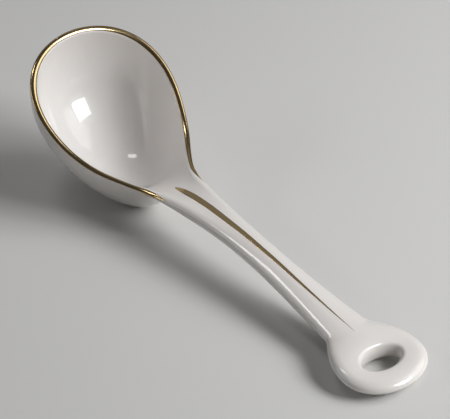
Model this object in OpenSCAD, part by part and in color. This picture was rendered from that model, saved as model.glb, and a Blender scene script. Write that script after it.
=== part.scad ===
// Gravy ladle in white china: deep egg-shaped bowl, slender handle, rounded loop with a hanging eye.
// One fired piece; gold is painted on its rim and along the middle of its handle.
// It lies on z = 0 on the bowl's underside and on the loop, with the bowl at -X and the loop at +X.
// The form is worked out straight along its own length s, then bent along the spine and laid down.

/* [Bowl] */
// Outer length of the egg-shaped rim
bowl_l = 70; // [55:0.5:90]
// Outer width of the rim at its widest
bowl_w = 58; // [46:0.5:74]
// How much the egg narrows toward the handle
bowl_taper = 0.24; // [0.08:0.01:0.3]
// Depth of the hollow below the rim's inner edge
bowl_depth = 23.5; // [18:0.5:32]
// Thickness of the bowl's floor
floor_t = 3; // [2.4:0.1:5]
// Fullness of the bowl's profile, 0 a dish, 2 nearly a half ball
fullness = 1.15; // [0.8:0.05:2.2]
// Width of the rounded lip, and of the handle's rounded shoulders
lip_w = 2.6; // [2:0.1:3.4]

/* [Throat] */
// How far short of the egg's end the hollow turns up into the handle
brow_back = 8; // [3:0.1:11]
// Softness of the brow where the hollow rises into the handle
brow_soft = 0.5; // [0.3:0.01:0.7]
// Softness of the underside where the bowl runs into the handle
chin_soft = 0.08; // [0.06:0.01:0.4]
// Where the egg's sides turn straight toward the handle, as a share of its half length
throat_from = 0.63; // [0.5:0.01:0.85]
// Softness of the corner between rim and handle, seen from above
throat_soft = 2.5; // [1:0.1:8]
// Dip of the rim and the bowl beside the throat
dip_h = 1.2; // [0:0.1:2.5]
// Middle of that dip, measured from the middle of the bowl
dip_s = 30; // [20:0.5:36]
// Distance from its middle over which the dip fades out
dip_l = 12; // [6:0.5:18]

/* [Handle] */
// Length from the end of the egg to the middle of the loop
handle_l = 107.5; // [85:0.5:130]
// Width of the handle at the neck
neck_w = 20; // [14:0.2:24]
// Width of the handle at its waist
waist_w = 8; // [7.4:0.1:12]
// Width the handle flares to under the loop
end_w = 20; // [12:0.2:24]
// How quickly the neck narrows to the waist
neck_flare = 3.8; // [1.5:0.1:5]
// How late the waist widens to the loop
end_flare = 2.2; // [1.5:0.1:5]
// Rise of the handle's top over its shoulders
crown = 0.8; // [0.3:0.1:1.6]
// Drop from the handle's top to its widest line
shoulder_h = 3.6; // [2:0.1:4.2]
// Where that drop starts beside the bowl, measured from the middle of the bowl
shoulder_from = 21; // [10:0.5:24]
// Length over which it comes in
shoulder_run = 34; // [20:0.5:40]
// Depth of the handle below its top at the neck
neck_t = 7.6; // [6:0.1:10]
// Depth of the loop below its top
loop_t = 8.9; // [6:0.1:10]

/* [Curve of the handle] */
// Upward bend of the handle out of the rim's plane, degrees
arch = 36; // [20:0.5:40]
// Where that bend starts, measured from the middle of the bowl
arch_from = -1; // [-6:0.5:16]
// Where that bend ends, past the end of the egg
arch_past = 3.6; // [0:0.2:20]
// Downward bend along the middle of the handle, degrees
droop = 8.6; // [0:0.1:16]
// Upward bend before the loop, degrees
toe = 2.5; // [0:0.5:10]
// Distance from the loop's middle back to where that bend starts
toe_l = 38; // [24:1:42]
// Distance from the loop's middle back to where it ends
toe_end = 5; // [0:0.5:12]

/* [Loop] */
// Width of the loop
loop_w = 32; // [25:0.1:40]
// Length of the loop
loop_l = 30.8; // [27:0.1:38]
// How much the loop splays toward its end
loop_splay = 0.18; // [0:0.01:0.24]
// Sharpness of the corner between handle and loop, seen from above
loop_sharp = 3.7; // [2:0.05:4]
// Width of the eye
eye_w = 15.4; // [9:0.1:16]
// Length of the eye
eye_l = 8.4; // [6:0.1:11]
// How far the eye sits beyond the middle of the loop
eye_shift = 2.8; // [0:0.1:3.4]
// Rounding of the eye's edge
eye_round = 1.8; // [1.2:0.1:2.4]
// Depth of the dish around the eye
dish_h = 0.6; // [0:0.1:2]
// Distance over which the dish fades out
dish_l = 4; // [2.5:0.1:7]
// Rise of the underside around the eye
eye_lift = 1.2; // [0.4:0.1:2]

/* [Gold] */
// Thickness of the gold film
gold_t = 0.1; // [0.06:0.01:0.2]
// Upper edge of the rim's gold, as a share of the way over the lip
gold_upper = 0.14; // [0.08:0.01:0.3]
// The same where it ends beside the neck
gold_upper_end = 0.24; // [0.1:0.01:0.5]
// Lower edge of the rim's gold, as a share of the way over the lip
gold_lower = 0.86; // [0.7:0.01:0.94]
// Where the gold starts to narrow, measured from the middle of the bowl
gold_narrow = 10; // [0:1:25]
// Where the rim's gold ends, past the end of the egg
rim_past = 5.4; // [4.4:0.2:9]
// Where the stripe starts, past the end of the egg
stripe_past = 3; // [1:0.2:4]
// Distance left plain between the stripe's end and the turn into the loop
stripe_gap = 2; // [1:0.5:30]
// Width of the stripe near its start
stripe_w = 3; // [1.4:0.1:3.4]
// Length of the stripe's rounded start
stripe_tip = 11; // [4:0.5:20]
// How the stripe narrows after it, 1 evenly, less than 1 mostly near its end
stripe_taper = 0.85; // [0.5:0.05:1.5]

/* [Hidden] */

china = [0.93, 0.92, 0.9];
gold = [0.83, 0.66, 0.32];

half_l = bowl_l / 2;
loop_s = half_l + handle_l;
end_s = loop_s + loop_l / 2;
arch_to = half_l + arch_past;
rim_to = half_l + rim_past;
stripe_from = half_l + stripe_past;
eye_s = loop_s + eye_shift;
border_l = eye_l / 2 + eye_round;
border_w = eye_w / 2 + eye_round;
// Where the strips across the handle hand over to the rays around the eye
ray_room = 5;
cut_s = eye_s - border_l - ray_room;
stripe_to = cut_s - stripe_gap;
stripe_l = stripe_to - stripe_from;

// Stations along the outline: bowl's tip, bowl's side, stripe beside the rim's gold, rest of the stripe,
// end of the handle, loop up to its middle, rest of the loop
tip_n = 20;
side_n = 15;
both_n = 2;
stripe_n = 24;
cuff_n = 1;
near_n = 6;
far_n = 14;
stripe_a = tip_n + side_n;
rim_end = stripe_a + both_n;
stripe_b = rim_end + stripe_n;
cut_j = stripe_b + cuff_n;
end_j = cut_j + near_n + far_n;
round_n = 2 * end_j;
// Rows across half the width; row 1 is the stripe's edge
row_n = 9;
// Steps over the lip, and rings between the eye and the outline
lip_n = 7;
ring_n = 4;

// Smooth larger-of-two, rounded over k
function soft_max(a, b, k) = (a + b + sqrt((a - b) * (a - b) + k * k)) / 2;
// Straight ramp limited to 0..1, and the same with eased ends
function ramp(t) = min(max(t, 0), 1);
function ease(t) = let (c = ramp(t)) c * c * (3 - 2 * c);
// Depth profile: 0 at the rim, 1 at the bottom, fuller with q; and its inverse
function fill(g, q = fullness) = (1 + q) * g / (1 + q * g);
function unfill(f, q = fullness) = f / (1 + q - q * f);
function unit(v) = v / norm(v);
function mix(a, b, t) = a + (b - a) * t;

// Outline in plan: half widths at s, the outline being moved inward by in
egg_z = (1 - sqrt(1 + 8 * bowl_taper * bowl_taper)) / (4 * bowl_taper);
// Past throat_from the egg's side goes on straight, along its tangent there
function egg_y(z) = sqrt(1 - z * z) * (1 - bowl_taper * z);
egg_peak = egg_y(egg_z);
throat_slope = -throat_from / sqrt(1 - throat_from * throat_from) * (1 - bowl_taper * throat_from)
    - bowl_taper * sqrt(1 - throat_from * throat_from);
function egg_half(s, in) = let (z = max(s / (half_l - in), -1), c = min(z, throat_from))
    (bowl_w / 2 - in) / egg_peak * (egg_y(c) + throat_slope * (z - c));
function stem_half(s, in) = let (
    u = ramp((s - half_l) / handle_l),
    w = waist_w + (neck_w - waist_w) * pow(1 - u, neck_flare) + (end_w - waist_w) * pow(u, end_flare),
    f = ramp((loop_s - s) / (loop_l / 2)))
    (w / 2 - in) * ease(2 * s / half_l) * sqrt(f * (2 - f));
function loop_half(s, in) = let (z = min(max((s - loop_s) / (loop_l / 2 - in), -1), 1))
    (loop_w / 2 - in) * sqrt(1 - z * z) * (1 + loop_splay * z);
function half_w(s, in = 0) = let (
    body = max(soft_max(egg_half(s, in), stem_half(s, in), throat_soft * ease(2 * s / half_l)), 0))
    pow(pow(body, loop_sharp) + pow(loop_half(s, in), loop_sharp), 1 / loop_sharp);

// Distance outside the border of the eye's rounding
function eye_gap(s, y) = max(norm([(s - eye_s) / border_l, y / border_w]) - 1, 0) * border_w;
// 0 at that border, 1 away from it
function off_eye(s, y, reach) = 1 - 2 / (exp(2 * eye_gap(s, y) / reach) + 1);
// 1 along the ladle, falling to 0 at the loop's end
function end_fade(s, in) = let (z = ramp((s - loop_s) / (loop_l / 2 - in))) 1 - z * z;

// Depth of the dip beside the throat
function dip(s) = let (z = (s - dip_s) / dip_l) dip_h * exp(-z * z);

// Height of the top over the rim's plane at s, y: hollow of the bowl, crown of the handle, dish of the eye
crown_g = crown / bowl_depth / (1 + fullness + fullness * crown / bowl_depth);
brow_1 = soft_max(1, -crown_g, brow_soft);
function top_n(s, y) = let (
    in_l = half_l - lip_w,
    w = max(half_w(s, lip_w), 0.001),
    z = s / (s < 0 ? in_l : in_l - brow_back),
    along = s < 0 ? 1 - z * z : soft_max(1 - z * z, -crown_g, brow_soft) / brow_1,
    g = along * (1 - ramp(y * y / (w * w))) * end_fade(s, lip_w))
    -bowl_depth * fill(g) - dish_h * (1 - off_eye(s, y, dish_l)) - dip(s);

// Height of the underside at s, y
under_h = bowl_depth + floor_t;
chin_g = unfill((neck_t - shoulder_h) / under_h);
chin_1 = soft_max(1, chin_g, chin_soft);
function under_n(s, y) = let (
    edge = shoulder_h * ease((s - shoulder_from) / shoulder_run),
    w = max(half_w(s), 0.001),
    z = s / half_l,
    t = mix(neck_t, loop_t, ramp((s - half_l) / handle_l)),
    along = s < 0 ? 1 - z * z : soft_max(1 - z * z, unfill((t - shoulder_h) / under_h), chin_soft) / chin_1,
    g = along * (1 - ramp(y * y / (w * w))) * end_fade(s, 0))
    -edge - under_h * fill(g) + eye_lift * (1 - off_eye(s, y, dish_l)) - dip(s);

// Spine: heading at s, and its position summed up in small steps from a little before the bowl's tip
function heading(s) = arch * ease((s - arch_from) / (arch_to - arch_from))
    - droop * ease((s - arch_to) / (loop_s - toe_l - arch_to))
    + toe * ease((s - loop_s + toe_l) / (toe_l - toe_end));
spine_step = 0.5;
spine_room = 4;
spine_n = ceil((end_s + half_l + 2 * spine_room) / spine_step);
spine = [for (i = 0, s = -half_l - spine_room, p = [0, 0]; i <= spine_n;
        p = p + spine_step * [cos(heading(s + spine_step / 2)), sin(heading(s + spine_step / 2))],
        s = s + spine_step, i = i + 1) [s, p[0], p[1]]];
spine_x = [for (p = spine) [p[0], p[1]]];
spine_z = [for (p = spine) [p[0], p[2]]];
function bend(p) = let (h = heading(p[0]))
    [lookup(p[0], spine_x) - p[2] * sin(h), p[1], lookup(p[0], spine_z) + p[2] * cos(h)];

// Tilt that lays the bowl's underside and the loop on one level, found by halving from wide limits;
// the underside is taken along the bowl's middle line, and in the loop on arcs from half its size outward
tilt_least = -10;
tilt_most = 50;
halvings = 26;
bowl_n = 120;
arc_n = 10;
arc_step = 7.5;
bowl_under = [for (i = [-bowl_n:bowl_n]) let (s = half_l * i / bowl_n) bend([s, 0, under_n(s, 0)])];
loop_under = [for (i = [0:arc_n], a = [0:arc_step:180])
    let (r = mix(0.5, 1, i / arc_n), s = loop_s + loop_l / 2 * r * cos(a), y = loop_w / 2 * r * sin(a))
    bend([s, y, under_n(s, y)])];
function low(pts, t) = min([for (p = pts) p[2] * cos(t) - p[0] * sin(t)]);
function settle(a, b, n) = let (t = (a + b) / 2) n == 0 ? t
    : low(bowl_under, t) > low(loop_under, t) ? settle(a, t, n - 1) : settle(t, b, n - 1);
tilt = settle(tilt_least, tilt_most, halvings);
function lay(p) = let (q = bend(p))
    [q[0] * cos(tilt) + q[2] * sin(tilt), q[1], q[2] * cos(tilt) - q[0] * sin(tilt)];

// 0 to 1, closer together at both ends the more crowding goes from 0 to 1
crowding = 0.55;
function crowd(t) = t - crowding * sin(360 * t) / (2 * PI);

// Outer outline, tip to loop end on the +Y side, as [s, half width]
stations = concat(
    [for (i = [0:tip_n]) -half_l * cos(90 * i / tip_n)],
    [for (i = [1:side_n]) stripe_from * i / side_n],
    [for (i = [1:both_n]) mix(stripe_from, rim_to, i / both_n)],
    [for (i = [1:stripe_n]) mix(rim_to, stripe_to, crowd(i / stripe_n))],
    [for (i = [1:cuff_n]) mix(stripe_to, cut_s, i / cuff_n)],
    [for (i = [1:near_n]) mix(cut_s, loop_s, i / near_n)],
    [for (i = [1:far_n]) loop_s + loop_l / 2 * sin(90 * i / far_n)]);
outer = [for (s = stations) [s, half_w(s)]];
// Direction square to the outline, inward
function inward(j) = let (a = j == 0 ? [outer[1][0], -outer[1][1]] : outer[j - 1],
    b = j == end_j ? [outer[j - 1][0], -outer[j - 1][1]] : outer[j + 1], t = unit(b - a)) [t[1], -t[0]];
inner = [for (j = [0:end_j]) let (s = outer[j][0] + lip_w * inward(j)[0]) [s, half_w(s, lip_w)]];

// Curve over the edge between a top point and an underside point, leaving along u and arriving along v
function over(a, u, v, b, t) = pow(1 - t, 3) * a + 3 * t * pow(1 - t, 2) * (a + u)
    + 3 * t * t * (1 - t) * (b + v) + pow(t, 3) * b;
// Short way over which a slope is taken, and reach of the curve at each end
probe = 0.05;
lip_pull = 0.55;
// Steepest slope the curve follows, least rise it keeps from the underside, and steepest fall from the top
steepest = 6;
flattest = 0.2;
deepest = -2;
// Share of the way over the lip at each of its rows; the gold's edges are on rows first_l and last_l
first_l = 1;
last_l = lip_n - 1;
function lip_t(s, l) = let (
    up = mix(gold_upper, gold_upper_end, ease((s - gold_narrow) / (half_l - gold_narrow))))
    l < first_l ? 0 : l > last_l ? 1 : mix(up, gold_lower, (l - first_l) / (last_l - first_l));
lip = [for (j = [0:end_j]) let (
    n = inward(j),
    a = [inner[j][0], inner[j][1], top_n(inner[j][0], inner[j][1])],
    b = [outer[j][0], outer[j][1], under_n(outer[j][0], outer[j][1])],
    rise_a = (a[2] - top_n(a[0] + n[0] * probe, a[1] + n[1] * probe)) / probe,
    rise_b = (b[2] - under_n(b[0] + n[0] * probe, b[1] + n[1] * probe)) / probe,
    pull = lip_pull * norm(b - a),
    u = pull * unit([-n[0], -n[1], min(max(rise_a, deepest), steepest)]),
    v = pull * unit([-n[0], -n[1], min(max(rise_b, flattest), steepest)]))
    [for (l = [0:lip_n]) over(a, u, v, b, lip_t(outer[j][0], l))]];
function mirror_y(p) = [p[0], -p[1], p[2]];
// Lip all the way round, clockwise seen from above
rim = [for (k = [0:round_n - 1]) k <= end_j ? lip[k] : [for (p = lip[round_n - k]) mirror_y(p)]];

// Rows across the strips: 0 on the middle line, 1 along the stripe's edge, row_n at the lip
function stripe_half(s) = let (
    u = ramp((s - stripe_from) / stripe_l), d = 1 - ramp((s - stripe_from) / stripe_tip))
    stripe_w / 2 * pow(1 - u, stripe_taper) * sqrt(1 - d * d);
function striped(j) = j > stripe_a && j < stripe_b;
function row_y(s, w, i) = abs(i) == 1 ? sign(i) * stripe_half(s)
    : w * sign(i) * sin(90 * max(abs(i) - 1, 0) / (row_n - 1));
rows = [for (i = [1 - row_n:row_n - 1]) i];
top_rows = [for (j = [1:cut_j], i = rows) let (s = inner[j][0], y = row_y(s, inner[j][1], i))
    [s, y, top_n(s, y)]];
under_rows = [for (j = [1:cut_j], i = rows) let (s = outer[j][0], y = row_y(s, outer[j][1], i))
    [s, y, under_n(s, y)]];

// Rays between the eye and what surrounds it: the lip round the loop, then the last strip across the handle
across = [for (i = [2 - row_n:row_n - 2]) i < 0 ? i - 1 : i > 0 ? i + 1 : 0];
loop_n = round_n - 2 * cut_j + 1;
ray_n = loop_n + len(across);
cut_a = 180 - 180 * (len(across) + 1) / ray_n;
function ray_a(b) = b < loop_n ? mix(cut_a, -cut_a, b / (loop_n - 1))
    : -cut_a - (360 - 2 * cut_a) * (b - loop_n + 1) / (len(across) + 1);
function border(b) = [eye_s + border_l * cos(ray_a(b)), border_w * sin(ray_a(b))];
function flat(p) = [p[0], p[1]];
function row_at(rws, j, i) = rws[(j - 1) * len(rows) + i + row_n - 1];
top_far = [for (b = [0:ray_n - 1]) b < loop_n ? rim[cut_j + b][0]
    : row_at(top_rows, cut_j, across[b - loop_n])];
under_far = [for (b = [0:ray_n - 1]) b < loop_n ? rim[cut_j + b][lip_n]
    : row_at(under_rows, cut_j, across[b - loop_n])];
top_rings = [for (b = [0:ray_n - 1], r = [0:ring_n - 1])
    let (p = mix(border(b), flat(top_far[b]), r / ring_n)) [p[0], p[1], top_n(p[0], p[1])]];
under_rings = [for (b = [0:ray_n - 1], r = [0:ring_n - 1])
    let (p = mix(border(b), flat(under_far[b]), r / ring_n)) [p[0], p[1], under_n(p[0], p[1])]];
// Rounded wall of the eye; the middle of such a curve comes wall_reach of its pull into the eye
wall_reach = 0.75;
eye_wall = [for (b = [0:ray_n - 1]) let (
    a = top_rings[b * ring_n],
    c = under_rings[b * ring_n],
    n = unit([cos(ray_a(b)) / border_l, sin(ray_a(b)) / border_w]),
    rise_a = (top_n(a[0] + n[0] * probe, a[1] + n[1] * probe) - a[2]) / probe,
    rise_c = (under_n(c[0] + n[0] * probe, c[1] + n[1] * probe) - c[2]) / probe,
    pull = eye_round / wall_reach)
    for (l = [1:lip_n - 1])
        over(a, -pull * [n[0], n[1], rise_a], -pull * [n[0], n[1], rise_c], c, l / lip_n)];

// All points in one list; these give the place of each group in it
lip_at = 0;
top_at = round_n * (lip_n + 1);
under_at = top_at + len(top_rows);
top_ring_at = under_at + len(under_rows);
under_ring_at = top_ring_at + ray_n * ring_n;
wall_at = under_ring_at + ray_n * ring_n;
function i_lip(k, l) = lip_at + ((k + round_n) % round_n) * (lip_n + 1) + l;
function i_row(at, edge, j, i, open) = j == 0 ? i_lip(0, edge)
    : i == row_n ? i_lip(j, edge)
    : i == -row_n ? i_lip(-j, edge)
    : at + (j - 1) * len(rows) + row_n - 1 + (abs(i) == 1 && !open ? 0 : i);
function i_top(j, i) = i_row(top_at, 0, j, i, striped(j));
function i_under(j, i) = i_row(under_at, lip_n, j, i, false);
function i_ray(at, edge, b0, r, top) = let (b = b0 % ray_n) r < ring_n ? at + b * ring_n + r
    : b < loop_n ? i_lip(cut_j + b, edge)
    : top ? i_top(cut_j, across[b - loop_n]) : i_under(cut_j, across[b - loop_n]);
function i_wall(b0, l) = let (b = b0 % ray_n) l == 0 ? top_ring_at + b * ring_n
    : l == lip_n ? under_ring_at + b * ring_n : wall_at + b * (lip_n - 1) + l - 1;

raw = concat([for (c = rim) each c], top_rows, under_rows, top_rings, under_rings, eye_wall);
laid = [for (p = raw) lay(p)];
span_x = [for (p = laid) p[0]];
base = [(min(span_x) + max(span_x)) / 2, 0, min([for (p = laid) p[2]])];
points = [for (p = laid) p - base];

// Two facets of a four-cornered patch, corners clockwise from outside; a corner that repeats drops a facet
function facet(a, b, c) = a == b || b == c || c == a ? [] : [[a, b, c]];
function patch(a, b, c, d, turn) = turn ? concat(facet(b, c, d), facet(b, d, a))
    : concat(facet(a, b, c), facet(a, c, d));
function lip_turn(k, l) = (l >= lip_n / 2) != (k >= end_j);
function top_patch(j, i) = patch(i_top(j, i), i_top(j, i + 1), i_top(j + 1, i + 1), i_top(j + 1, i), i < 0);
faces = concat(
    [for (k = [0:round_n - 1], l = [0:lip_n - 1])
        each patch(i_lip(k, l), i_lip(k, l + 1), i_lip(k + 1, l + 1), i_lip(k + 1, l), lip_turn(k, l))],
    [for (j = [0:cut_j - 1], i = [-row_n:row_n - 1]) each top_patch(j, i)],
    [for (j = [0:cut_j - 1], i = [-row_n:row_n - 1])
        each patch(i_under(j, i), i_under(j + 1, i), i_under(j + 1, i + 1), i_under(j, i + 1), i >= 0)],
    [for (b = [0:ray_n - 1], r = [0:ring_n - 1]) each patch(
        i_ray(top_ring_at, 0, b, r, true), i_ray(top_ring_at, 0, b, r + 1, true),
        i_ray(top_ring_at, 0, b + 1, r + 1, true), i_ray(top_ring_at, 0, b + 1, r, true), b >= ray_n / 2)],
    [for (b = [0:ray_n - 1], r = [0:ring_n - 1]) each patch(
        i_ray(under_ring_at, lip_n, b, r, false), i_ray(under_ring_at, lip_n, b + 1, r, false),
        i_ray(under_ring_at, lip_n, b + 1, r + 1, false), i_ray(under_ring_at, lip_n, b, r + 1, false),
        b < ray_n / 2)],
    [for (b = [0:ray_n - 1], l = [0:lip_n - 1])
        each patch(i_wall(b, l + 1), i_wall(b, l), i_wall(b + 1, l), i_wall(b + 1, l + 1), b >= ray_n / 2)]);

// Gold film on the rim: rows first_l to last_l of the lip, narrowing over the last stations
function gold_l(k, l) = let (in = max(abs(k) - rim_end + 2, 0)) min(max(l, first_l + in), last_l - in);
function lip_normal(k, l) = unit(cross(
    points[i_lip(k, min(l + 1, lip_n))] - points[i_lip(k, l - 1)],
    points[i_lip(k + 1, l)] - points[i_lip(k - 1, l)]));
gold_w = last_l - first_l + 1;
rim_cells = 2 * rim_end + 1;
rim_pts = concat(
    [for (k = [-rim_end:rim_end], l = [first_l:last_l]) points[i_lip(k, l)]],
    [for (k = [-rim_end:rim_end], l = [first_l:last_l]) points[i_lip(k, l)] - gold_t * lip_normal(k, l)]);
function i_gold(k, l, up) = (up ? rim_cells * gold_w : 0) + (k + rim_end) * gold_w + gold_l(k, l) - first_l;
rim_faces = concat(
    [for (k = [-rim_end:rim_end - 1], l = [first_l:last_l - 1], up = [true, false]) let (
        q = patch(i_gold(k, l, up), i_gold(k, l + 1, up), i_gold(k + 1, l + 1, up), i_gold(k + 1, l, up),
            lip_turn((k + round_n) % round_n, l)))
        for (f = q) up ? f : [f[2], f[1], f[0]]],
    [for (k = [-rim_end:rim_end - 1]) each patch(i_gold(k, first_l, false), i_gold(k, first_l, true),
        i_gold(k + 1, first_l, true), i_gold(k + 1, first_l, false), false)],
    [for (k = [-rim_end:rim_end - 1]) each patch(i_gold(k + 1, last_l, false), i_gold(k + 1, last_l, true),
        i_gold(k, last_l, true), i_gold(k, last_l, false), false)],
    [for (l = [first_l:last_l - 1]) each concat(
        patch(i_gold(rim_end, l, false), i_gold(rim_end, l, true),
            i_gold(rim_end, l + 1, true), i_gold(rim_end, l + 1, false), true),
        patch(i_gold(-rim_end, l + 1, false), i_gold(-rim_end, l + 1, true),
            i_gold(-rim_end, l, true), i_gold(-rim_end, l, false), true))]);

// Gold stripe on the handle: the three middle rows, lifted square to the top
function top_normal(j) = unit(cross(
    points[i_top(j, 2)] - points[i_top(j, -2)], points[i_top(j + 1, 0)] - points[i_top(j - 1, 0)]));
stripe_pts = concat(
    [for (j = [stripe_a:stripe_b], i = [-1:1]) points[i_top(j, i)]],
    [for (j = [stripe_a:stripe_b], i = [-1:1]) points[i_top(j, i)] - gold_t * top_normal(j)]);
function i_stripe(j, i, up) = (up ? 3 * (stripe_b - stripe_a + 1) : 0) + 3 * (j - stripe_a) + 1
    + (striped(j) ? i : 0);
stripe_faces = concat(
    [for (j = [stripe_a:stripe_b - 1], i = [-1:0], up = [true, false]) let (
        q = patch(i_stripe(j, i, up), i_stripe(j, i + 1, up),
            i_stripe(j + 1, i + 1, up), i_stripe(j + 1, i, up), i < 0))
        for (f = q) up ? f : [f[2], f[1], f[0]]],
    [for (j = [stripe_a:stripe_b - 1]) each concat(
        patch(i_stripe(j, -1, false), i_stripe(j, -1, true),
            i_stripe(j + 1, -1, true), i_stripe(j + 1, -1, false), false),
        patch(i_stripe(j + 1, 1, false), i_stripe(j + 1, 1, true),
            i_stripe(j, 1, true), i_stripe(j, 1, false), false))]);

module ladle() color(china) polyhedron(points, faces, convexity = 6);
module rim_gilding() color(gold) polyhedron(rim_pts, rim_faces, convexity = 6);
module stripe_gilding() color(gold) polyhedron(stripe_pts, stripe_faces, convexity = 4);

ladle();
rim_gilding();
stripe_gilding();
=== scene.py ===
import bmesh
import bpy
import numpy as np
from mathutils import Matrix, Quaternion, Vector


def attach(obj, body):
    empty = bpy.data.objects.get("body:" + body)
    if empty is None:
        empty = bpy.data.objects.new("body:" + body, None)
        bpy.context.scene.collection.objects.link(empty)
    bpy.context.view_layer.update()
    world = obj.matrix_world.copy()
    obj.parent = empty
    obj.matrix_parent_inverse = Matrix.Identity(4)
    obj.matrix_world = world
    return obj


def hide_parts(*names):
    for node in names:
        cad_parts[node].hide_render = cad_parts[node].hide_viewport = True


# White china gravy ladle with a gold rim and a gold stripe, on a plain pale floor.
# The form is worked out flat, along the ladle (s) and across it (y), then bent and laid down.

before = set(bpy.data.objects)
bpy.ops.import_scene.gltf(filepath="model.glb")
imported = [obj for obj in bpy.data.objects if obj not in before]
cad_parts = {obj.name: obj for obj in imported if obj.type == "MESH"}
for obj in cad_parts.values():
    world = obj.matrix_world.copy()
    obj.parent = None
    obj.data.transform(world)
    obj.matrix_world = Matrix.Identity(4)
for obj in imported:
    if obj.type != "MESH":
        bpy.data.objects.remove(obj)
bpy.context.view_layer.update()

mm = 0.001
tiny = 1e-12  # keeps divisions off zero
leastWidth = 0.001  # the same for half widths, in millimetres

# Sizes, in millimetres and degrees; shares and powers have no unit
bowl = {"length": 70.0, "width": 58.0, "taper": 0.24,  # an egg seen from above
        "depth": 23.5, "floor": 3.0, "fullness": 1.15,  # hollow, china under it, how full its curve is
        "lip": 2.6, "throatFrom": 0.63, "throatSoft": 2.5,  # the egg's sides go straight from throatFrom on
        "browBack": 8.0, "browSoft": 0.5, "chinSoft": 0.08,  # how the hollow and the underside run out
        "dip": 1.2, "dipAt": 30.0, "dipReach": 12.0}  # the rim is lower by the throat
handle = {"length": 107.5, "neckWidth": 20.0, "waistWidth": 8.0, "endWidth": 20.0,
          "neckFlare": 3.8, "endFlare": 2.2,  # how late it widens toward the bowl and toward the loop
          "crown": 0.8, "neckThick": 7.6, "loopThick": 8.9,  # the crown is the rise of the top's middle
          "shoulderDrop": 3.6, "shoulderFrom": 21.0, "shoulderRun": 34.0,  # how the sides' lower line falls
          "arch": 36.0, "archFrom": -1.0, "archPast": 3.6,  # turn up out of the bowl
          "droop": 8.6, "toe": 2.5, "toeBack": 38.0, "toeEnd": 5.0}  # turn down, and up again at the loop
loop = {"width": 32.0, "length": 30.8, "splay": 0.18, "sharp": 3.7,  # sharp: how tightly it meets the handle
        "eyeWidth": 15.4, "eyeLength": 8.4, "eyeShift": 2.8, "eyeRound": 1.8,
        "dish": 0.6, "dishReach": 4.0, "eyeLift": 1.2}  # top and underside come closer round the eye

halfBowl = bowl["length"] / 2
loopMiddle = halfBowl + handle["length"]
ladleEnd = loopMiddle + loop["length"] / 2
archTo = halfBowl + handle["archPast"]
eyeMiddle = loopMiddle + loop["eyeShift"]
eyeBorder = np.array([loop["eyeLength"] / 2 + loop["eyeRound"], loop["eyeWidth"] / 2 + loop["eyeRound"]])


def ramp(t):  # t limited to 0..1
    return np.clip(t, 0.0, 1.0)


def ease(t):  # smooth step: three times t squared less twice t cubed
    t = ramp(t)
    return t * t * (3 - 2 * t)


# Larger of two, rounded: half of their sum and of the root of their difference squared plus k squared
def softMax(a, b, k):
    return (a + b + np.sqrt((a - b) ** 2 + k * k)) / 2


def fill(g):  # depth profile: g over fullness times g plus one, scaled to be 0 at the rim, 1 at the bottom
    return (1 + bowl["fullness"]) * g / (1 + bowl["fullness"] * g)


def unfill(f):  # its inverse
    return f / (1 + bowl["fullness"] - bowl["fullness"] * f)


# Half width at s with the outline moved inward: an egg whose sides run straight into the throat,
# the handle blended to it, and the loop joined on by a power sum
def halfWidth(s, inset=0.0):
    taper, turn = bowl["taper"], bowl["throatFrom"]
    peakAt = (1 - np.sqrt(1 + 8 * taper ** 2)) / (4 * taper)
    peak = np.sqrt(1 - peakAt ** 2) * (1 - taper * peakAt)
    z = np.clip(s / (halfBowl - inset), -1, None)
    onEgg = np.minimum(z, turn)
    slope = -turn / np.sqrt(1 - turn ** 2) * (1 - taper * turn) - taper * np.sqrt(1 - turn ** 2)
    curve = np.sqrt(1 - onEgg ** 2) * (1 - taper * onEgg)
    egg = (bowl["width"] / 2 - inset) / peak * (curve + slope * (z - onEgg))
    u = ramp((s - halfBowl) / handle["length"])
    neck = (handle["neckWidth"] - handle["waistWidth"]) * (1 - u) ** handle["neckFlare"]
    flare = (handle["endWidth"] - handle["waistWidth"]) * u ** handle["endFlare"]
    wide = handle["waistWidth"] + neck + flare
    end = ramp((loopMiddle - s) / (loop["length"] / 2))
    begun = ease(2 * s / halfBowl)  # the handle comes in past the bowl's middle, over a quarter of its length
    stem = (wide / 2 - inset) * begun * np.sqrt(end * (2 - end))
    z = np.clip((s - loopMiddle) / (loop["length"] / 2 - inset), -1, 1)
    ring = (loop["width"] / 2 - inset) * np.sqrt(1 - z * z) * (1 + loop["splay"] * z)
    body = np.maximum(softMax(egg, stem, bowl["throatSoft"] * begun), 0)
    return (body ** loop["sharp"] + ring ** loop["sharp"]) ** (1 / loop["sharp"])


# 0 at the border of the eye's rounding, near 1 a few millimetres off: tanh of the distance past the border
def awayFromEye(s, y):
    gap = np.maximum(np.hypot((s - eyeMiddle) / eyeBorder[0], y / eyeBorder[1]) - 1, 0) * eyeBorder[1]
    return np.tanh(gap / loop["dishReach"])


def rimDip(s):  # dip of the whole section by the throat, a bell along the ladle
    return bowl["dip"] * np.exp(-((s - bowl["dipAt"]) / bowl["dipReach"]) ** 2)


def endFade(s, inset):  # 1 up to the loop's middle, then a parabola down to 0 at the loop's end
    z = ramp((s - loopMiddle) / (loop["length"] / 2 - inset))
    return 1 - z * z


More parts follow.
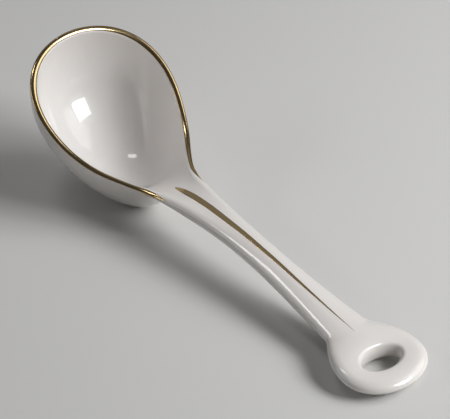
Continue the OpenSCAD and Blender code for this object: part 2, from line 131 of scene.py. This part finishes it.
# Height of the top: a parabola along times a parabola across, filled out, less the dish round the eye
# and the dip by the throat
def topHeight(s, y):
    crown = handle["crown"] / bowl["depth"]
    crownG = crown / (1 + bowl["fullness"] + bowl["fullness"] * crown)
    inner = halfBowl - bowl["lip"]
    wide = np.maximum(halfWidth(s, bowl["lip"]), leastWidth)
    z = s / np.where(s < 0, inner, inner - bowl["browBack"])
    brow = softMax(1 - z * z, -crownG, bowl["browSoft"]) / softMax(1.0, -crownG, bowl["browSoft"])
    g = np.where(s < 0, 1 - z * z, brow) * (1 - ramp(y * y / wide ** 2)) * endFade(s, bowl["lip"])
    return -bowl["depth"] * fill(g) - loop["dish"] * (1 - awayFromEye(s, y)) - rimDip(s)


# Height of the underside, made the same way, below the line of the shoulders, and raised round the eye
def underHeight(s, y):
    deep = bowl["depth"] + bowl["floor"]
    drop = handle["shoulderDrop"]
    u = ramp((s - halfBowl) / handle["length"])
    thick = handle["neckThick"] + (handle["loopThick"] - handle["neckThick"]) * u
    shoulder = drop * ease((s - handle["shoulderFrom"]) / handle["shoulderRun"])
    wide = np.maximum(halfWidth(s), leastWidth)
    z = s / halfBowl
    least, leastAtNeck = unfill((thick - drop) / deep), unfill((handle["neckThick"] - drop) / deep)
    chin = softMax(1 - z * z, least, bowl["chinSoft"]) / softMax(1.0, leastAtNeck, bowl["chinSoft"])
    g = np.where(s < 0, 1 - z * z, chin) * (1 - ramp(y * y / wide ** 2)) * endFade(s, 0)
    return -shoulder - deep * fill(g) + loop["eyeLift"] * (1 - awayFromEye(s, y)) - rimDip(s)


# Slope of the spine in radians: up out of the bowl, over, and level again, each turn a smooth step
def heading(s):
    turn = handle["arch"] * ease((s - handle["archFrom"]) / (archTo - handle["archFrom"])) \
        - handle["droop"] * ease((s - archTo) / (loopMiddle - handle["toeBack"] - archTo)) \
        + handle["toe"] * ease((s - loopMiddle + handle["toeBack"]) / (handle["toeBack"] - handle["toeEnd"]))
    return np.radians(turn)


spineStep, spinePast = 0.05, 4.0  # the spine is added up in these steps, this far past both ends
spineS = np.arange(-halfBowl - spinePast, ladleEnd + spinePast, spineStep)
spineTurn = heading(spineS[:-1] + spineStep / 2)
spineX = np.concatenate([[0], np.cumsum(np.cos(spineTurn))]) * spineStep
spineZ = np.concatenate([[0], np.cumsum(np.sin(spineTurn))]) * spineStep


def bend(p):  # flat points (s, y, n) to the curved ladle: s along the spine, then n square to it
    s, y, n = p[..., 0], p[..., 1], p[..., 2]
    turn = heading(s)
    return np.stack([np.interp(s, spineS, spineX) - n * np.sin(turn), y,
                     np.interp(s, spineS, spineZ) + n * np.cos(turn)], -1)


def turned(p, tilt):  # points turned about Y, nose down by tilt, in radians
    return np.stack([p[..., 0] * np.cos(tilt) + p[..., 2] * np.sin(tilt), p[..., 1],
                     p[..., 2] * np.cos(tilt) - p[..., 0] * np.sin(tilt)], -1)


def flat(s, y, n):  # points from three arrays of any shapes that fit together
    return np.stack(np.broadcast_arrays(s, y, n), -1)


search = {"bowlSteps": 241, "ringFrom": 0.5, "rings": 11, "ringSteps": 49, "low": -10, "high": 50,
          "halvings": 30}


# Tilt at which the lowest point of the bowl and of the loop are level, by halving the range
def restTilt():
    s = np.linspace(-halfBowl, halfBowl, search["bowlSteps"])
    under = bend(flat(s, 0 * s, underHeight(s, 0 * s)))
    r, a = np.meshgrid(np.linspace(search["ringFrom"], 1, search["rings"]),
                       np.linspace(0, np.pi, search["ringSteps"]))
    s = loopMiddle + loop["length"] / 2 * r * np.cos(a)
    y = loop["width"] / 2 * r * np.sin(a)
    ring = bend(flat(s, y, underHeight(s, y)))
    low, high = np.radians(search["low"]), np.radians(search["high"])
    for _ in range(search["halvings"]):
        tilt = (low + high) / 2
        bowlLower = turned(under, tilt)[..., 2].min() < turned(ring, tilt)[..., 2].min()
        low, high = (tilt, high) if bowlLower else (low, tilt)
    return tilt


# Outline and lip: the number of steps in each stretch. The rim's gold ends and the stripe begins this many
# millimetres past the bowl, and the strips end rayRoom before the eye
mesh = {"tip": 60, "side": 70, "both": 14, "stem": 184, "cuff": 46, "end": 56, "lipRows": 14, "halfRows": 20,
        "rings": 12}
rimPast, stripePast, rayRoom = 7.2, 1.5, 5.0
cutS = eyeMiddle - eyeBorder[0] - rayRoom
rimTo = halfBowl + rimPast
stripeFrom = halfBowl + stripePast


# Places along the outline, tip to loop end: cosine and sine steps at the two ends, even ones between
def stations():
    tip = -halfBowl * np.cos(np.linspace(0, 1, mesh["tip"] + 1) * np.pi / 2)
    end = loopMiddle + loop["length"] / 2 * np.sin(np.linspace(0, 1, mesh["end"] + 1)[1:] * np.pi / 2)
    ends = [0, stripeFrom, rimTo, cutS, loopMiddle]
    counts = [mesh["side"], mesh["both"], mesh["stem"], mesh["cuff"]]
    between = [np.linspace(a, b, n + 1)[1:] for a, b, n in zip(ends[:-1], ends[1:], counts)]
    return np.concatenate([tip] + between + [end])


# Unit vectors square to the outline, pointing in: the step between the two neighbours, a quarter turned.
# The outline goes on mirrored past both ends
def inwardOf(s, w):
    sAll = np.concatenate([[s[1]], s, [s[-2]]])
    wAll = np.concatenate([[-w[1]], w, [-w[-2]]])
    t = np.stack([sAll[2:] - sAll[:-2], wAll[2:] - wAll[:-2]], -1)
    t /= np.linalg.norm(t, axis=1, keepdims=True)
    return np.stack([t[:, 1], -t[:, 0]], -1)


def unit(v):  # vectors over their lengths
    return v / np.maximum(np.linalg.norm(v, axis=-1, keepdims=True), tiny)


# Curve over an edge: a cubic from a leaving along u to b arriving along v, for every t
def over(a, u, v, b, t):
    a, u, v, b = (q[:, None, :] for q in (a, u, v, b))
    t = t[..., None]
    return (1 - t) ** 3 * a + 3 * t * (1 - t) ** 2 * (a + u) + 3 * t ** 2 * (1 - t) * (b + v) + t ** 3 * b


outS = stations()
outW = halfWidth(outS)
outW[[0, -1]] = 0
inward = inwardOf(outS, outW)
inS = outS + bowl["lip"] * inward[:, 0]
inW = halfWidth(inS, bowl["lip"])
inW[[0, -1]] = 0

# The lip's cubic: the step at which slopes are measured, how far its ends pull, and the least and the
# greatest slope that it takes from the top and from the underside
lipCurve = {"probe": 0.05, "pull": 0.55, "topSlopes": (-2, 6), "underSlopes": (0.2, 6)}


# Lip: the curve from the top's edge over to the underside's edge, t = 0..1, for the first count stations.
# It leaves and arrives along the slopes of the top and of the underside
def lipGrid(t, count=None):
    s0, w0, s1, w1, n = inS[:count], inW[:count], outS[:count], outW[:count], inward[:count]
    probe = lipCurve["probe"]
    a = flat(s0, w0, topHeight(s0, w0))
    b = flat(s1, w1, underHeight(s1, w1))
    riseA = (a[:, 2] - topHeight(s0 + n[:, 0] * probe, w0 + n[:, 1] * probe)) / probe
    riseB = (b[:, 2] - underHeight(s1 + n[:, 0] * probe, w1 + n[:, 1] * probe)) / probe
    reach = lipCurve["pull"] * np.linalg.norm(b - a, axis=1, keepdims=True)
    u = reach * unit(flat(-n[:, 0], -n[:, 1], np.clip(riseA, *lipCurve["topSlopes"])))
    v = reach * unit(flat(-n[:, 0], -n[:, 1], np.clip(riseB, *lipCurve["underSlopes"])))
    return over(a, u, v, b, t)


def mirrored(p):  # y reversed
    return p * np.array([1, -1, 1])


def allRound(p):  # both sides of the outline, the mirrored one in reverse, without the shared ends
    return np.concatenate([p, mirrored(p[-2:0:-1])])


lip = allRound(lipGrid(np.linspace(0, 1, mesh["lipRows"] + 1)[None, :]))


# Quads of a grid of points, row by row: each point, the next, and the two beside them in the next row
def gridFaces(rows, cols, first=0, wrap=False):
    r = np.arange(rows if wrap else rows - 1)
    a = (r[:, None] * cols + np.arange(cols - 1)[None, :]).ravel()
    b = (((r + 1) % rows)[:, None] * cols + np.arange(cols - 1)[None, :]).ravel()
    return np.stack([a, a + 1, b + 1, b], -1) + first


# One piece from grids of points with their marks, joined where their edges meet, within merge metres
def pieceFrom(name, grids, merge=1e-7):
    points, faces, values, at = [], [], {}, 0
    for p, wrap, marks in grids:
        faces.append(gridFaces(p.shape[0], p.shape[1], at, wrap))
        points.append(p.reshape(-1, 3))
        for key, mark in marks.items():
            values.setdefault(key, []).append(np.broadcast_to(mark, p.shape[:2]).ravel())
        at += p.shape[0] * p.shape[1]
    data = bpy.data.meshes.new(name)
    data.from_pydata(np.concatenate(points).tolist(), [], np.concatenate(faces).tolist())
    for key, parts in values.items():
        layer = data.attributes.new(key, "FLOAT", "POINT")
        layer.data.foreach_set("value", np.concatenate(parts).astype(np.float32))
    built = bmesh.new()
    built.from_mesh(data)
    bmesh.ops.remove_doubles(built, verts=built.verts, dist=merge)
    bmesh.ops.dissolve_degenerate(built, edges=built.edges, dist=merge)
    bmesh.ops.recalc_face_normals(built, faces=built.faces)
    built.to_mesh(data)
    built.free()
    data.polygons.foreach_set("use_smooth", np.ones(len(data.polygons), bool))
    piece = bpy.data.objects.new(name, data)
    bpy.context.scene.collection.objects.link(piece)
    return piece


# Strips across the ladle: y is the half width times a sine from edge to edge, closer together at the lip
def stripGrid(s, w, height):
    y = np.sin(np.linspace(-1, 1, 2 * mesh["halfRows"] + 1) * np.pi / 2)[None, :] * w[:, None]
    return flat(s[:, None], y, height(s[:, None], y))


# Rays between the border of the eye and what lies round it, straight lines in plan
def rayGrid(edge, strip, height):
    far = np.concatenate([edge, strip[-1, 1:-1]])[:, :2]
    near = eyeRing(len(edge), len(far))
    t = np.linspace(0, 1, mesh["rings"] + 1)[None, :, None]
    p = near[:, None, :] * (1 - t) + far[:, None, :] * t
    return flat(p[..., 0], p[..., 1], height(p[..., 0], p[..., 1]))


# Angles of the rays about the eye, evenly spaced in two fans; those facing the handle come last
def rayAngles(loopCount, count):
    cut = np.pi - np.pi * (count - loopCount + 1) / count
    left = count - loopCount
    return np.concatenate([cut - 2 * cut * np.arange(loopCount) / (loopCount - 1),
                           -cut - (2 * np.pi - 2 * cut) * np.arange(1, left + 1) / (left + 1)])


def eyeRing(loopCount, count):  # the border's ellipse: its half lengths times cosine and sine of the angles
    a = rayAngles(loopCount, count)
    return np.stack([eyeMiddle + eyeBorder[0] * np.cos(a), eyeBorder[1] * np.sin(a)], -1)


cubicReach = 0.75  # share of the pull at its ends that a cubic reaches in its middle


# Wall of the eye: the cubic from the top's border round to the underside's, bulging into the eye
def eyeWall(topRays, underRays, loopCount):
    angle = rayAngles(loopCount, len(topRays))
    a, c = topRays[:, 0], underRays[:, 0]
    n = unit(np.stack([np.cos(angle) / eyeBorder[0], np.sin(angle) / eyeBorder[1]], -1))
    probe, pull = lipCurve["probe"], loop["eyeRound"] / cubicReach
    riseA = (topHeight(a[:, 0] + n[:, 0] * probe, a[:, 1] + n[:, 1] * probe) - a[:, 2]) / probe
    riseC = (underHeight(c[:, 0] + n[:, 0] * probe, c[:, 1] + n[:, 1] * probe) - c[:, 2]) / probe
    return over(a, -pull * flat(n[:, 0], n[:, 1], riseA), -pull * flat(n[:, 0], n[:, 1], riseC), c,
                np.linspace(0, 1, mesh["lipRows"] + 1)[None, :])


rimLast = mesh["tip"] + mesh["side"] + mesh["both"]
cutAt = rimLast + mesh["stem"]
topStrips = stripGrid(inS[:cutAt + 1], inW[:cutAt + 1], topHeight)
underStrips = stripGrid(outS[:cutAt + 1], outW[:cutAt + 1], underHeight)
loopCount = len(lip) - 2 * cutAt + 1
topRays = rayGrid(lip[cutAt:cutAt + loopCount, 0], topStrips, topHeight)
underRays = rayGrid(lip[cutAt:cutAt + loopCount, -1], underStrips, underHeight)
wall = eyeWall(topRays, underRays, loopCount)

tilt = restTilt()
spread = turned(bend(np.concatenate([q.reshape(-1, 3) for q in (lip, underStrips, underRays)])), tilt)
base = np.array([(spread[:, 0].min() + spread[:, 0].max()) / 2, 0, spread[:, 2].min()])


# Flat points in millimetres to the ladle's place in the frame, in metres: bent, tilted and set down
def lay(p):
    return (turned(bend(p), tilt) - base) * mm


def onTop(s, y):  # the same for points of the top
    return lay(flat(s, y, topHeight(s, y)))


def hollowOf(p):  # how deep a point of the top lies: minus its height over the depth, limited to 0..1
    return ramp(-p[..., 2] / bowl["depth"])


china = pieceFrom("ladle_china", [
    (lay(lip), True, {"hollow": 0.0}),
    (lay(topStrips), False, {"hollow": hollowOf(topStrips)}),
    (lay(underStrips), False, {"hollow": 0.0}),
    (lay(topRays), True, {"hollow": hollowOf(topRays)}),
    (lay(underRays), True, {"hollow": 0.0}),
    (lay(wall), True, {"hollow": 0.0})])
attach(china, "root")
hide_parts("ladle")
print("china:", len(china.data.polygons), "faces")

# Gold, painted on: a thin film with soft edges, its underside just below the glaze. rubFade is the share
# by which a rubbed spot fades across the band
film = {"thick": 0.1, "sunk": 0.03, "square": 4, "rubFade": 0.6}
hand = ((7.3, 1.0, 1.0), (2.9, 0.6, 2.1), (1.3, 0.3, 3.7))  # length, size and shift of each sine


# Ring of points round the film's section: over the top from edge to edge, back along the underside.
# The top's rise is the root of one less a power of the place across, -1 to 1
def filmGrid(place, alongDir, acrossDir, v, strength):
    normal = unit(np.cross(alongDir, acrossDir))
    section = np.sqrt(1 - np.abs(2 * v - 1) ** film["square"])
    rise = film["thick"] * mm * section[None, :, None] * strength[:, None, None]
    under = (place - normal * (film["sunk"] * mm) * strength[:, None, None])[:, ::-1]
    return np.concatenate([place + normal * rise, under], 1).swapaxes(0, 1)


# Marks on the film: millimetres along the brush stroke, the place across it from 0 to 1, the edge from
# 0 there to 1 in the middle, and where it is rubbed
def filmMarks(along, v, rubbed=0.0):
    edge = np.concatenate([1 - np.abs(2 * v - 1), 1 - np.abs(2 * v[::-1] - 1)])
    across = np.concatenate([v, v[::-1]])
    return {"stroke": along[None, :], "edge": edge[:, None], "across": across[:, None],
            "rubbed": rubbed * (1 - film["rubFade"] * across[:, None])}


def waver(u, size, start):  # unsteady hand: a sum of sines of unlike length
    return size * sum(share * np.sin(u / length + shift * start) for length, share, shift in hand)


rimGold = {"upper": 0.14, "lower": 0.86, "tipUpper": 0.24, "tipReach": 15.0,  # edges, as shares over the lip
           "throatUpper": 0.24, "narrowFrom": 10.0, "tail": 9.0, "across": 14,
           "waver": 0.012, "upperStart": 1.0, "lowerStart": 2.3, "step": 0.01,
           "rubbed": 92.8, "rubbedLength": 0.8}


# Band over the lip: t runs from upper to lower on the lip's own curve, and both ends narrow to a point
# as a quarter of a sine does
def rimBand():
    k = np.arange(-rimLast, rimLast + 1)
    along = np.cumsum(np.hypot(np.gradient(outS[np.abs(k)]), np.gradient(outW[np.abs(k)] * np.sign(k))))
    along -= along[0]
    room = np.minimum(along, along[-1] - along) / rimGold["tail"]
    width = np.sin(ramp(room) * np.pi / 2)
    v = (1 - np.cos(np.linspace(0, np.pi, rimGold["across"] + 1))) / 2
    s = outS[np.abs(k)]
    byThroat = ease((s - rimGold["narrowFrom"]) / (halfBowl - rimGold["narrowFrom"]))
    byTip = 1 - ease((s + halfBowl) / rimGold["tipReach"])
    upper = rimGold["upper"] + (rimGold["throatUpper"] - rimGold["upper"]) * byThroat \
        + (rimGold["tipUpper"] - rimGold["upper"]) * byTip
    middle = (upper + rimGold["lower"]) / 2
    upperWaver = waver(along, rimGold["waver"], rimGold["upperStart"])
    lowerWaver = waver(along, rimGold["waver"], rimGold["lowerStart"])
    low = middle + (upper - middle + upperWaver) * width
    high = middle + (rimGold["lower"] - middle + lowerWaver) * width
    t = low[:, None] + (high - low)[:, None] * v[None, :]

    def onLip(t):  # the -Y side from the neck to the tip, then the +Y side back to the neck
        left = mirrored(lipGrid(t[rimLast::-1], rimLast + 1))[:0:-1]
        return lay(np.concatenate([left, lipGrid(t[rimLast:], rimLast + 1)]))

    place = onLip(t)
    acrossDir = onLip(t + rimGold["step"]) - onLip(t - rimGold["step"])
    grid = filmGrid(place, np.gradient(place, axis=0), acrossDir, v, width)
    spot = np.exp(-((along - rimGold["rubbed"]) / rimGold["rubbedLength"]) ** 2)
    return grid, filmMarks(along, v, spot[None, :])


grid, marks = rimBand()
rimPiece = pieceFrom("rim_gold", [(grid, True, marks)])
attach(rimPiece, "root")
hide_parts("rim_gilding")
print("rim gold:", len(rimPiece.data.polygons), "faces,", round(float(marks["stroke"].max()), 1), "mm long")

stripeGold = {"width": 3.2, "tip": 11.0, "taper": 0.85, "gap": 2.0, "along": 300, "across": 10,
              "waver": 0.045, "shakeStart": 0.7, "drift": 0.4, "driftStart": 3.1, "step": 0.05}


# Stripe along the handle's middle: a rounded start, then a slow taper to a hairline, a power of what is left
def stripeBand():
    stripeEnd = cutS - stripeGold["gap"]
    u = (1 - np.cos(np.linspace(0, np.pi, stripeGold["along"] + 1))) / 2
    s = stripeFrom + (stripeEnd - stripeFrom) * u
    start = 1 - ramp((s - stripeFrom) / stripeGold["tip"])
    half = stripeGold["width"] / 2 * (1 - u) ** stripeGold["taper"] * np.sqrt(1 - start ** 2)
    v = np.linspace(0, 1, stripeGold["across"] + 1)
    shake = waver(s, stripeGold["waver"], stripeGold["shakeStart"]) * ramp(half)
    drift = stripeGold["drift"] * waver(s, stripeGold["waver"], stripeGold["driftStart"]) * ramp(half)
    y = (2 * v[None, :] - 1) * half[:, None] + (shake + drift)[:, None]
    along = s[:, None] + 0 * y
    step = stripeGold["step"]
    acrossDir = onTop(along, y + step) - onTop(along, y - step)
    alongDir = onTop(along + step, y) - onTop(along - step, y)
    grid = filmGrid(onTop(along, y), alongDir, acrossDir, v, np.sqrt(ramp(half / half.max())))
    return grid, filmMarks(s, v)


grid, marks = stripeBand()
stripePiece = pieceFrom("stripe_gold", [(grid, True, marks)])
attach(stripePiece, "root")
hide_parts("stripe_gilding")
print("stripe gold:", len(stripePiece.data.polygons), "faces")


def newMaterial(name, settings):  # a principled material with plain values set on its own sockets
    material = bpy.data.materials.new(name)
    material.use_nodes = True
    shader = material.node_tree.nodes["Principled BSDF"]
    for socket, value in settings.items():
        shader.inputs[socket].default_value = value
    return material, material.node_tree, shader


def addNode(tree, kind, place, settings=None, values=None):  # a node with its settings and socket values
    node = tree.nodes.new(kind)
    node.location = place
    for key, value in (settings or {}).items():
        setattr(node, key, value)
    for key, value in (values or {}).items():
        node.inputs[key].default_value = value
    return node


def join(tree, *links):  # links given as node, output, node, input
    for source, output, target, socket in links:
        tree.links.new(source.outputs[output], target.inputs[socket])


# Glaze: sizes in metres; the greyer white at the bottom of the hollow is painted shade
glaze = {"white": (0.83, 0.797, 0.768, 1), "deepShade": (0.79, 0.772, 0.753, 1), "speck": (0.36, 0.31, 0.26, 1),
         "cloudSize": 0.030, "cloudDark": 0.975, "cloudLight": 1.015, "rippleSize": 0.007, "ripple": 0.03,
         "speckRoom": 0.011, "speckSize": 0.00016, "speckSoft": 2.2, "speckDark": 0.55, "speckRare": 0.8}


# China: white, a little greyer down in the hollow as painted shade, times faint clouds, and a speck where
# the distance to a cell's point is small
def chinaMaterial():
    material, tree, shader = newMaterial("china_glaze", {
        "Roughness": 0.28, "IOR": 1.5, "Specular IOR Level": 0.35,
        "Coat Weight": 1.0, "Coat Roughness": 0.025, "Coat IOR": 1.5,
        "Subsurface Weight": 0.12, "Subsurface Radius": (1.0, 0.75, 0.55), "Subsurface Scale": 0.0015})
    place = addNode(tree, "ShaderNodeTexCoord", (-1300, 0))
    hollow = addNode(tree, "ShaderNodeAttribute", (-1100, 420), {"attribute_name": "hollow"})
    # Painted shade: the white goes greyer with the depth of the hollow
    hollowShade = addNode(tree, "ShaderNodeMix", (-700, 300), {"data_type": "RGBA"},
                   {"A": glaze["white"], "B": glaze["deepShade"]})
    # Faint clouds in the body under the glaze
    clouds = addNode(tree, "ShaderNodeTexNoise", (-1100, 100), None,
                     {"Scale": 1 / glaze["cloudSize"], "Detail": 3.0, "Roughness": 0.5})
    cloudRange = addNode(tree, "ShaderNodeMapRange", (-900, 100), None,
                         {"To Min": glaze["cloudDark"], "To Max": glaze["cloudLight"]})
    shade = addNode(tree, "ShaderNodeMix", (-480, 200), {"data_type": "RGBA", "blend_type": "MULTIPLY"},
                    {"Factor": 1.0})
    # Rare pin specks, one small dot in some of the cells
    cells = addNode(tree, "ShaderNodeTexVoronoi", (-1100, -200), None, {"Scale": 1 / glaze["speckRoom"]})
    near = addNode(tree, "ShaderNodeMapRange", (-900, -180), {"clamp": True},
                   {"From Min": glaze["speckSize"] / glaze["speckRoom"],
                    "From Max": glaze["speckSoft"] * glaze["speckSize"] / glaze["speckRoom"],
                    "To Min": glaze["speckDark"], "To Max": 0.0})
    few = addNode(tree, "ShaderNodeMath", (-900, -420), {"operation": "GREATER_THAN"},
                  {1: glaze["speckRare"]})
    dot = addNode(tree, "ShaderNodeMath", (-700, -260), {"operation": "MULTIPLY"})
    speck = addNode(tree, "ShaderNodeMix", (-260, 120), {"data_type": "RGBA"}, {"B": glaze["speck"]})
    # Slow ripple of the glaze
    ripple = addNode(tree, "ShaderNodeTexNoise", (-700, -520), None,
                     {"Scale": 1 / glaze["rippleSize"], "Detail": 1.0})
    bump = addNode(tree, "ShaderNodeBump", (-260, -420), None,
                   {"Strength": glaze["ripple"], "Distance": 0.0005})
    join(tree,
         (place, "Object", clouds, "Vector"), (place, "Object", cells, "Vector"),
         (place, "Object", ripple, "Vector"), (hollow, "Fac", hollowShade, "Factor"),
         (clouds, "Fac", cloudRange, "Value"), (hollowShade, "Result", shade, "A"),
         (cloudRange, "Result", shade, "B"), (cells, "Distance", near, "Value"),
         (cells, "Color", few, 0), (near, "Result", dot, 0), (few, "Value", dot, 1),
         (dot, "Value", speck, "Factor"), (shade, "Result", speck, "A"),
         (speck, "Result", shader, "Base Color"), (ripple, "Fac", bump, "Height"),
         (bump, "Normal", shader, "Coat Normal"))
    return material


# Gilding: thin and bare are its colours at the edges and where it is worn off. brush is the scale of the
# marks along the stroke and across it, and its last number does nothing. dull is the range of the marks
# over which the gold goes rough
gilt = {"gold": (0.78, 0.58, 0.31, 1), "thin": (0.40, 0.27, 0.14, 1), "bare": (0.74, 0.70, 0.64, 1),
        "smooth": 0.14, "rough": 0.23, "dull": (0.3, 0.75), "brush": (0.16, 5.0, 1.0), "bristle": 0.05,
        "thinTo": 0.35, "wearScale": 900.0, "worn": 0.70, "wornSoft": 0.06, "rubbed": 0.30}


# Fired gold: metal, thinner in colour at its edges, rougher and smoother by the brush marks, and bare china
# where a fine noise plus the rubbed spot passes the worn level
def goldMaterial():
    material, tree, shader = newMaterial("fired_gold", {"Metallic": 1.0, "Roughness": gilt["smooth"]})
    place = addNode(tree, "ShaderNodeTexCoord", (-1300, -300))
    stroke = addNode(tree, "ShaderNodeAttribute", (-1300, 300), {"attribute_name": "stroke"})
    across = addNode(tree, "ShaderNodeAttribute", (-1300, 120), {"attribute_name": "across"})
    edge = addNode(tree, "ShaderNodeAttribute", (-1300, 480), {"attribute_name": "edge"})
    # Brush marks: long along the stroke, fine across it
    brush = addNode(tree, "ShaderNodeCombineXYZ", (-1080, 220))
    marksNoise = addNode(tree, "ShaderNodeTexNoise", (-860, 220), None, {"Scale": 1.0, "Detail": 3.0})
    stretch = addNode(tree, "ShaderNodeVectorMath", (-1080, 60), {"operation": "MULTIPLY"},
                      {1: gilt["brush"]})
    # Thin at the edges, and rubbed in small spots
    thin = addNode(tree, "ShaderNodeMapRange", (-860, 480), {"clamp": True},
                   {"From Min": 0.0, "From Max": gilt["thinTo"], "To Min": 1.0, "To Max": 0.0})
    body = addNode(tree, "ShaderNodeMix", (-420, 380), {"data_type": "RGBA"},
                   {"A": gilt["gold"], "B": gilt["thin"]})
    wear = addNode(tree, "ShaderNodeTexNoise", (-860, -300), None,
                   {"Scale": gilt["wearScale"], "Detail": 4.0, "Roughness": 0.6})
    worn = addNode(tree, "ShaderNodeMapRange", (-640, -300), {"clamp": True},
                   {"From Min": gilt["worn"], "From Max": gilt["worn"] + gilt["wornSoft"],
                    "To Min": 0.0, "To Max": 1.0})
    rubbed = addNode(tree, "ShaderNodeAttribute", (-1080, -480), {"attribute_name": "rubbed"})
    rub = addNode(tree, "ShaderNodeMath", (-860, -520), {"operation": "MULTIPLY_ADD"}, {1: gilt["rubbed"]})
    color = addNode(tree, "ShaderNodeMix", (-220, 300), {"data_type": "RGBA"}, {"B": gilt["bare"]})
    metal = addNode(tree, "ShaderNodeMapRange", (-220, 60), None, {"To Min": 1.0, "To Max": 0.0})
    rough = addNode(tree, "ShaderNodeMapRange", (-420, -60), None,
                    {"From Min": gilt["dull"][0], "From Max": gilt["dull"][1],
                     "To Min": gilt["smooth"], "To Max": gilt["rough"]})
    bump = addNode(tree, "ShaderNodeBump", (-220, -300), None,
                   {"Strength": gilt["bristle"], "Distance": 0.00003})
    join(tree,
         (stroke, "Fac", brush, "X"), (across, "Fac", brush, "Y"), (brush, "Vector", stretch, 0),
         (stretch, "Vector", marksNoise, "Vector"), (edge, "Fac", thin, "Value"),
         (thin, "Result", body, "Factor"), (place, "Object", wear, "Vector"), (wear, "Fac", rub, 2),
         (rubbed, "Fac", rub, 0), (rub, "Value", worn, "Value"), (body, "Result", color, "A"),
         (worn, "Result", color, "Factor"), (color, "Result", shader, "Base Color"),
         (worn, "Result", metal, "Value"), (metal, "Result", shader, "Metallic"),
         (marksNoise, "Fac", rough, "Value"), (rough, "Result", shader, "Roughness"),
         (marksNoise, "Fac", bump, "Height"), (bump, "Normal", shader, "Normal"))
    return material


china.data.materials.append(chinaMaterial())
firedGold = goldMaterial()
rimPiece.data.materials.append(firedGold)
stripePiece.data.materials.append(firedGold)
print("materials set")

floor = {"size": 8.0, "color": (0.70, 0.695, 0.685, 1), "roughness": 0.55}
floorMesh = bpy.data.meshes.new("floor")
corner = floor["size"] / 2
floorCorners = [(-corner, -corner, 0), (corner, -corner, 0), (corner, corner, 0), (-corner, corner, 0)]
floorMesh.from_pydata(floorCorners, [], [(0, 1, 2, 3)])
floorPiece = bpy.data.objects.new("floor", floorMesh)
bpy.context.scene.collection.objects.link(floorPiece)
paleFloor = newMaterial("pale_floor", {"Base Color": floor["color"], "Roughness": floor["roughness"]})[0]
floorMesh.materials.append(paleFloor)

# Each lamp: what it faces, where it stands from there (azimuth and height in degrees), its two sides,
# its turn about its own axis, its power, and whether it is seen in the glaze and the gold
lampAway = 0.9
middle = (-0.02, 0.0, 0.02)
lamps = {
    "window": {"at": (-0.084, 0.002, 0.020), "azimuth": 30, "height": 30, "wide": 0.33, "tall": 0.31,
               "turn": -12, "power": 4.3, "mirrored": True},
    "strip": {"at": (0.030, -0.005, 0.015), "azimuth": 194, "height": 65, "wide": 0.08, "tall": 0.22,
              "turn": 36, "power": 0.4, "mirrored": True},
    "card": {"at": (-0.080, -0.020, 0.045), "azimuth": 62, "height": 31, "wide": 0.46, "tall": 0.52,
             "turn": 0, "power": 1.15, "mirrored": True},
    "panel": {"at": middle, "azimuth": 138, "height": 28, "wide": 0.8, "tall": 1.2,
              "turn": 0, "power": 0.46, "mirrored": True},
    "side": {"at": middle, "azimuth": 60, "height": 40, "wide": 0.4, "tall": 0.4,
             "turn": 0, "power": 2.4, "mirrored": False},
    "low": {"at": middle, "azimuth": 236, "height": 30, "wide": 0.5, "tall": 0.12,
            "turn": 0, "power": 0.7, "mirrored": True},
    "top": {"at": middle, "azimuth": 185, "height": 55, "wide": 0.4, "tall": 0.4,
            "turn": 0, "power": 0.3, "mirrored": False},
}


# Unit vector at an azimuth from +X and a height over the floor: cosines and sines of the two, multiplied
def direction(azimuth, height):
    a, h = np.radians(azimuth), np.radians(height)
    return Vector((np.cos(a) * np.cos(h), np.sin(a) * np.cos(h), np.sin(h)))


for name, lamp in lamps.items():
    data = bpy.data.lights.new(name, "AREA")
    data.shape = "RECTANGLE"
    data.size = lamp["wide"]
    data.size_y = lamp["tall"]
    data.energy = lamp["power"]
    light = bpy.data.objects.new(name, data)
    light.visible_glossy = lamp["mirrored"]
    away = direction(lamp["azimuth"], lamp["height"])
    light.location = Vector(lamp["at"]) + away * lampAway
    light.rotation_mode = "QUATERNION"
    spin = Quaternion((0, 0, 1), np.radians(lamp["turn"]))
    light.rotation_quaternion = away.to_track_quat("Z", "Y") @ spin
    bpy.context.scene.collection.objects.link(light)

roomColor = (0.04, 0.0405, 0.0415, 1)
world = bpy.data.worlds.new("studio")
world.use_nodes = True
world.node_tree.nodes["Background"].inputs["Color"].default_value = roomColor
bpy.context.scene.world = world

# Camera: it looks at a point on the floor, from the loop's side and above; pixels is its focal length in
# pixels of a picture that is frame pixels wide
view = {"at": (-0.02445, 0.02048, 0.0), "azimuth": -40.898, "height": 35.361, "away": 0.86452, "roll": 1.211,
        "pixels": 2379.77, "frame": 450, "sensor": 36.0, "near": 0.01, "far": 50}
camera = bpy.data.objects.new("camera", bpy.data.cameras.new("camera"))
camera.data.sensor_fit = "HORIZONTAL"
camera.data.sensor_width = view["sensor"]
camera.data.lens = view["pixels"] * view["sensor"] / view["frame"]
camera.data.clip_start = view["near"]
camera.data.clip_end = view["far"]
away = direction(view["azimuth"], view["height"])
camera.location = Vector(view["at"]) + away * view["away"]
level = away.cross(Vector((0, 0, -1))).normalized()
upright = away.cross(level)
roll = np.radians(view["roll"])
right = level * np.cos(roll) + upright * np.sin(roll)
up = upright * np.cos(roll) - level * np.sin(roll)
camera.rotation_mode = "QUATERNION"
camera.rotation_quaternion = Matrix((right, up, away)).transposed().to_quaternion()
bpy.context.scene.collection.objects.link(camera)
bpy.context.scene.camera = camera
bpy.context.scene.view_settings.view_transform = "Standard"
print("camera at", [round(v, 4) for v in camera.location])
